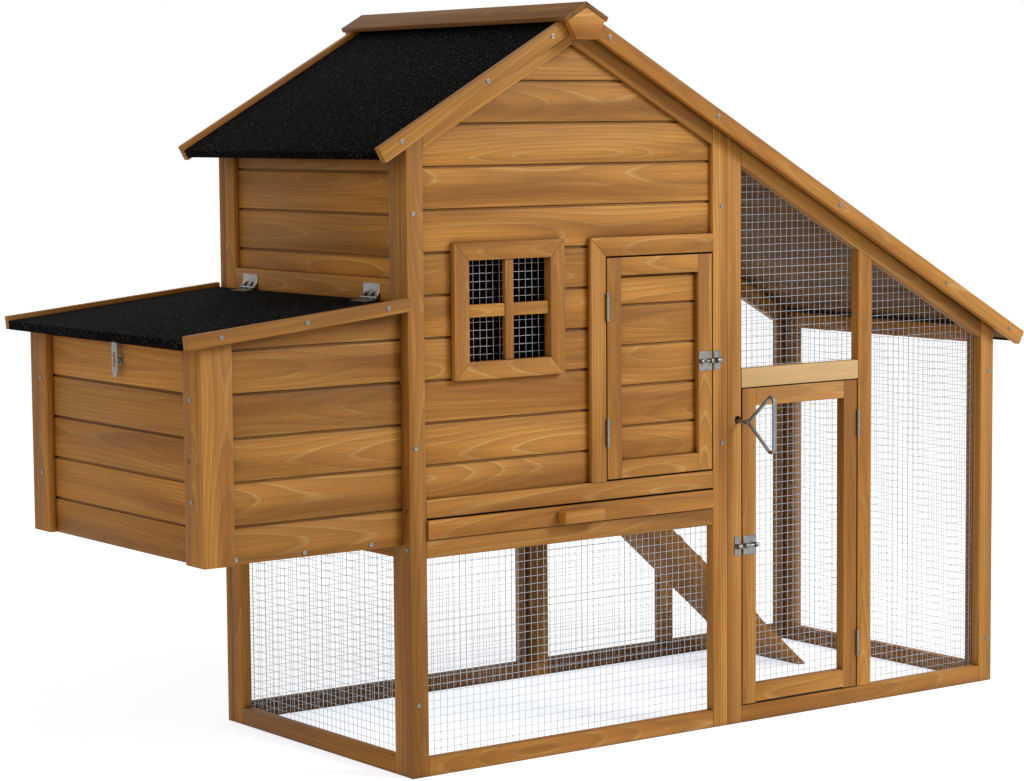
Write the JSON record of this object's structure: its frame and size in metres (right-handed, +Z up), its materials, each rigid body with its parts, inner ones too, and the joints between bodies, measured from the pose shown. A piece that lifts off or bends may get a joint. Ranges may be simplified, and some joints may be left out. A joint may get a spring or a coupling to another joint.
{
  "type": "chicken coop",
  "caption": "Raised timber hen house with side nest box, felted gable roof running down over an attached wire run, doors, tray and ramp.",
  "frame": {"origin": "middle of the footprint of the whole bounding box, on the ground", "axes": "+X to the right along the front with the doors, +Y from front to back, +Z up"},
  "size_m": [1.7148, 0.6973, 1.2012],
  "materials": {
    "stained_fir": "satin honey stain",
    "stained_fir_shade": "satin honey stain, darker boards",
    "roofing_felt": "mineral-faced bitumen felt",
    "zinc_steel": "zinc plated",
    "steel_rod": "plain drawn steel",
    "welded_mesh": "galvanised"
  },
  "bodies": {
    "coop": {"house_front_posts": "stained_fir", "house_front_rails": "stained_fir", "front_wall_boards": "stained_fir", "window_casing": "stained_fir", "window_bars": "stained_fir", "window_mesh": "welded_mesh", "door_casing": "stained_fir", "rafters": "stained_fir", "run_front_posts": "stained_fir", "run_front_rails": "stained_fir", "front_mesh": "welded_mesh", "back_posts": "stained_fir", "back_rails": "stained_fir_shade", "back_wall_boards": "stained_fir", "back_mesh": "welded_mesh", "left_frame": "stained_fir", "left_wall_boards": "stained_fir", "left_mesh": "welded_mesh", "right_frame": "stained_fir", "right_mesh": "welded_mesh", "inner_wall_frame": "stained_fir_shade", "inner_wall_boards": "stained_fir_shade", "slide_guides": "stained_fir_shade", "tray_runners": "stained_fir_shade", "perch": "stained_fir_shade", "nest_front_boards": "stained_fir", "nest_left_boards": "stained_fir", "nest_back_boards": "stained_fir", "nest_corner_trims": "stained_fir", "nest_floor": "stained_fir_shade", "nest_divider": "stained_fir_shade", "roof_boards_left": "stained_fir_shade", "roof_boards_right": "stained_fir_shade", "roof_felt": "roofing_felt", "verge_boards": "stained_fir", "ridge_cap": "stained_fir_shade", "ridge_end_blocks": "stained_fir", "frame_screws": "zinc_steel", "roof_screws": "zinc_steel", "fixed_hinge_leaves": "zinc_steel", "bolt_keepers": "zinc_steel"},
    "house_door": {"house_door_frame": "stained_fir", "house_door_boards": "stained_fir", "house_door_hardware": "zinc_steel"},
    "house_bolt": {"house_door_bolt": "zinc_steel"},
    "run_door": {"run_door_frame": "stained_fir", "run_door_mesh": "welded_mesh", "run_door_hardware": "zinc_steel"},
    "run_bolt": {"run_door_bolt": "zinc_steel"},
    "tray": {"tray_front": "stained_fir", "tray_pan": "zinc_steel"},
    "lid": {"lid_boards": "stained_fir", "lid_felt": "roofing_felt", "lid_hardware": "zinc_steel"},
    "hasp": {"hasp_strap": "zinc_steel"},
    "eye": {"hasp_staple": "zinc_steel"},
    "slide": {"slide_door": "stained_fir_shade", "pull_rod": "steel_rod"},
    "ramp": {"ramp": "stained_fir", "ramp_hinge_leaves": "zinc_steel"}
  },
  "joints": [
    {"name": "house_door_hinge", "type": "hinge", "parent": "coop", "child": "house_door", "pos_m": [-0.07813, -0.26015, 0.6], "axis": [0, 0, -1], "range_deg": [0, 100]},
    {"name": "house_bolt_slide", "type": "slide", "parent": "house_door", "child": "house_bolt", "axis": [1, 0, 0], "range_m": [0, 0.012]},
    {"name": "run_door_hinge", "type": "hinge", "parent": "coop", "child": "run_door", "pos_m": [0.47187, -0.25805, 0.3], "axis": [0, 0, 1], "range_deg": [0, 100]},
    {"name": "run_bolt_slide", "type": "slide", "parent": "run_door", "child": "run_bolt", "axis": [-1, 0, 0], "range_m": [0, 0.012]},
    {"name": "tray_slide", "type": "slide", "parent": "coop", "child": "tray", "axis": [0, -1, 0], "range_m": [0, 0.4]},
    {"name": "lid_hinge", "type": "hinge", "parent": "coop", "child": "lid", "pos_m": [-0.46814, 0.02465, 0.74487], "axis": [0, 1, 0], "range_deg": [0, 72]},
    {"name": "hasp_hinge", "type": "hinge", "parent": "lid", "child": "hasp", "pos_m": [-0.82149, 0.01565, 0.69251], "axis": [0, 1, 0], "range_deg": [-8, 70]},
    {"name": "eye_turn", "type": "hinge", "parent": "coop", "child": "eye", "pos_m": [-0.81063, 0.01565, 0.656], "axis": [1, 0, 0], "range_deg": [0, 90]},
    {"name": "slide_door_pull", "type": "slide", "parent": "coop", "child": "slide", "axis": [0, -1, 0], "range_m": [0, 0.18]},
    {"name": "ramp_hinge", "type": "hinge", "parent": "coop", "child": "ramp", "pos_m": [0.20937, 0.15565, 0.385], "axis": [0, -1, 0], "range_deg": [0, 25]}
  ]
}
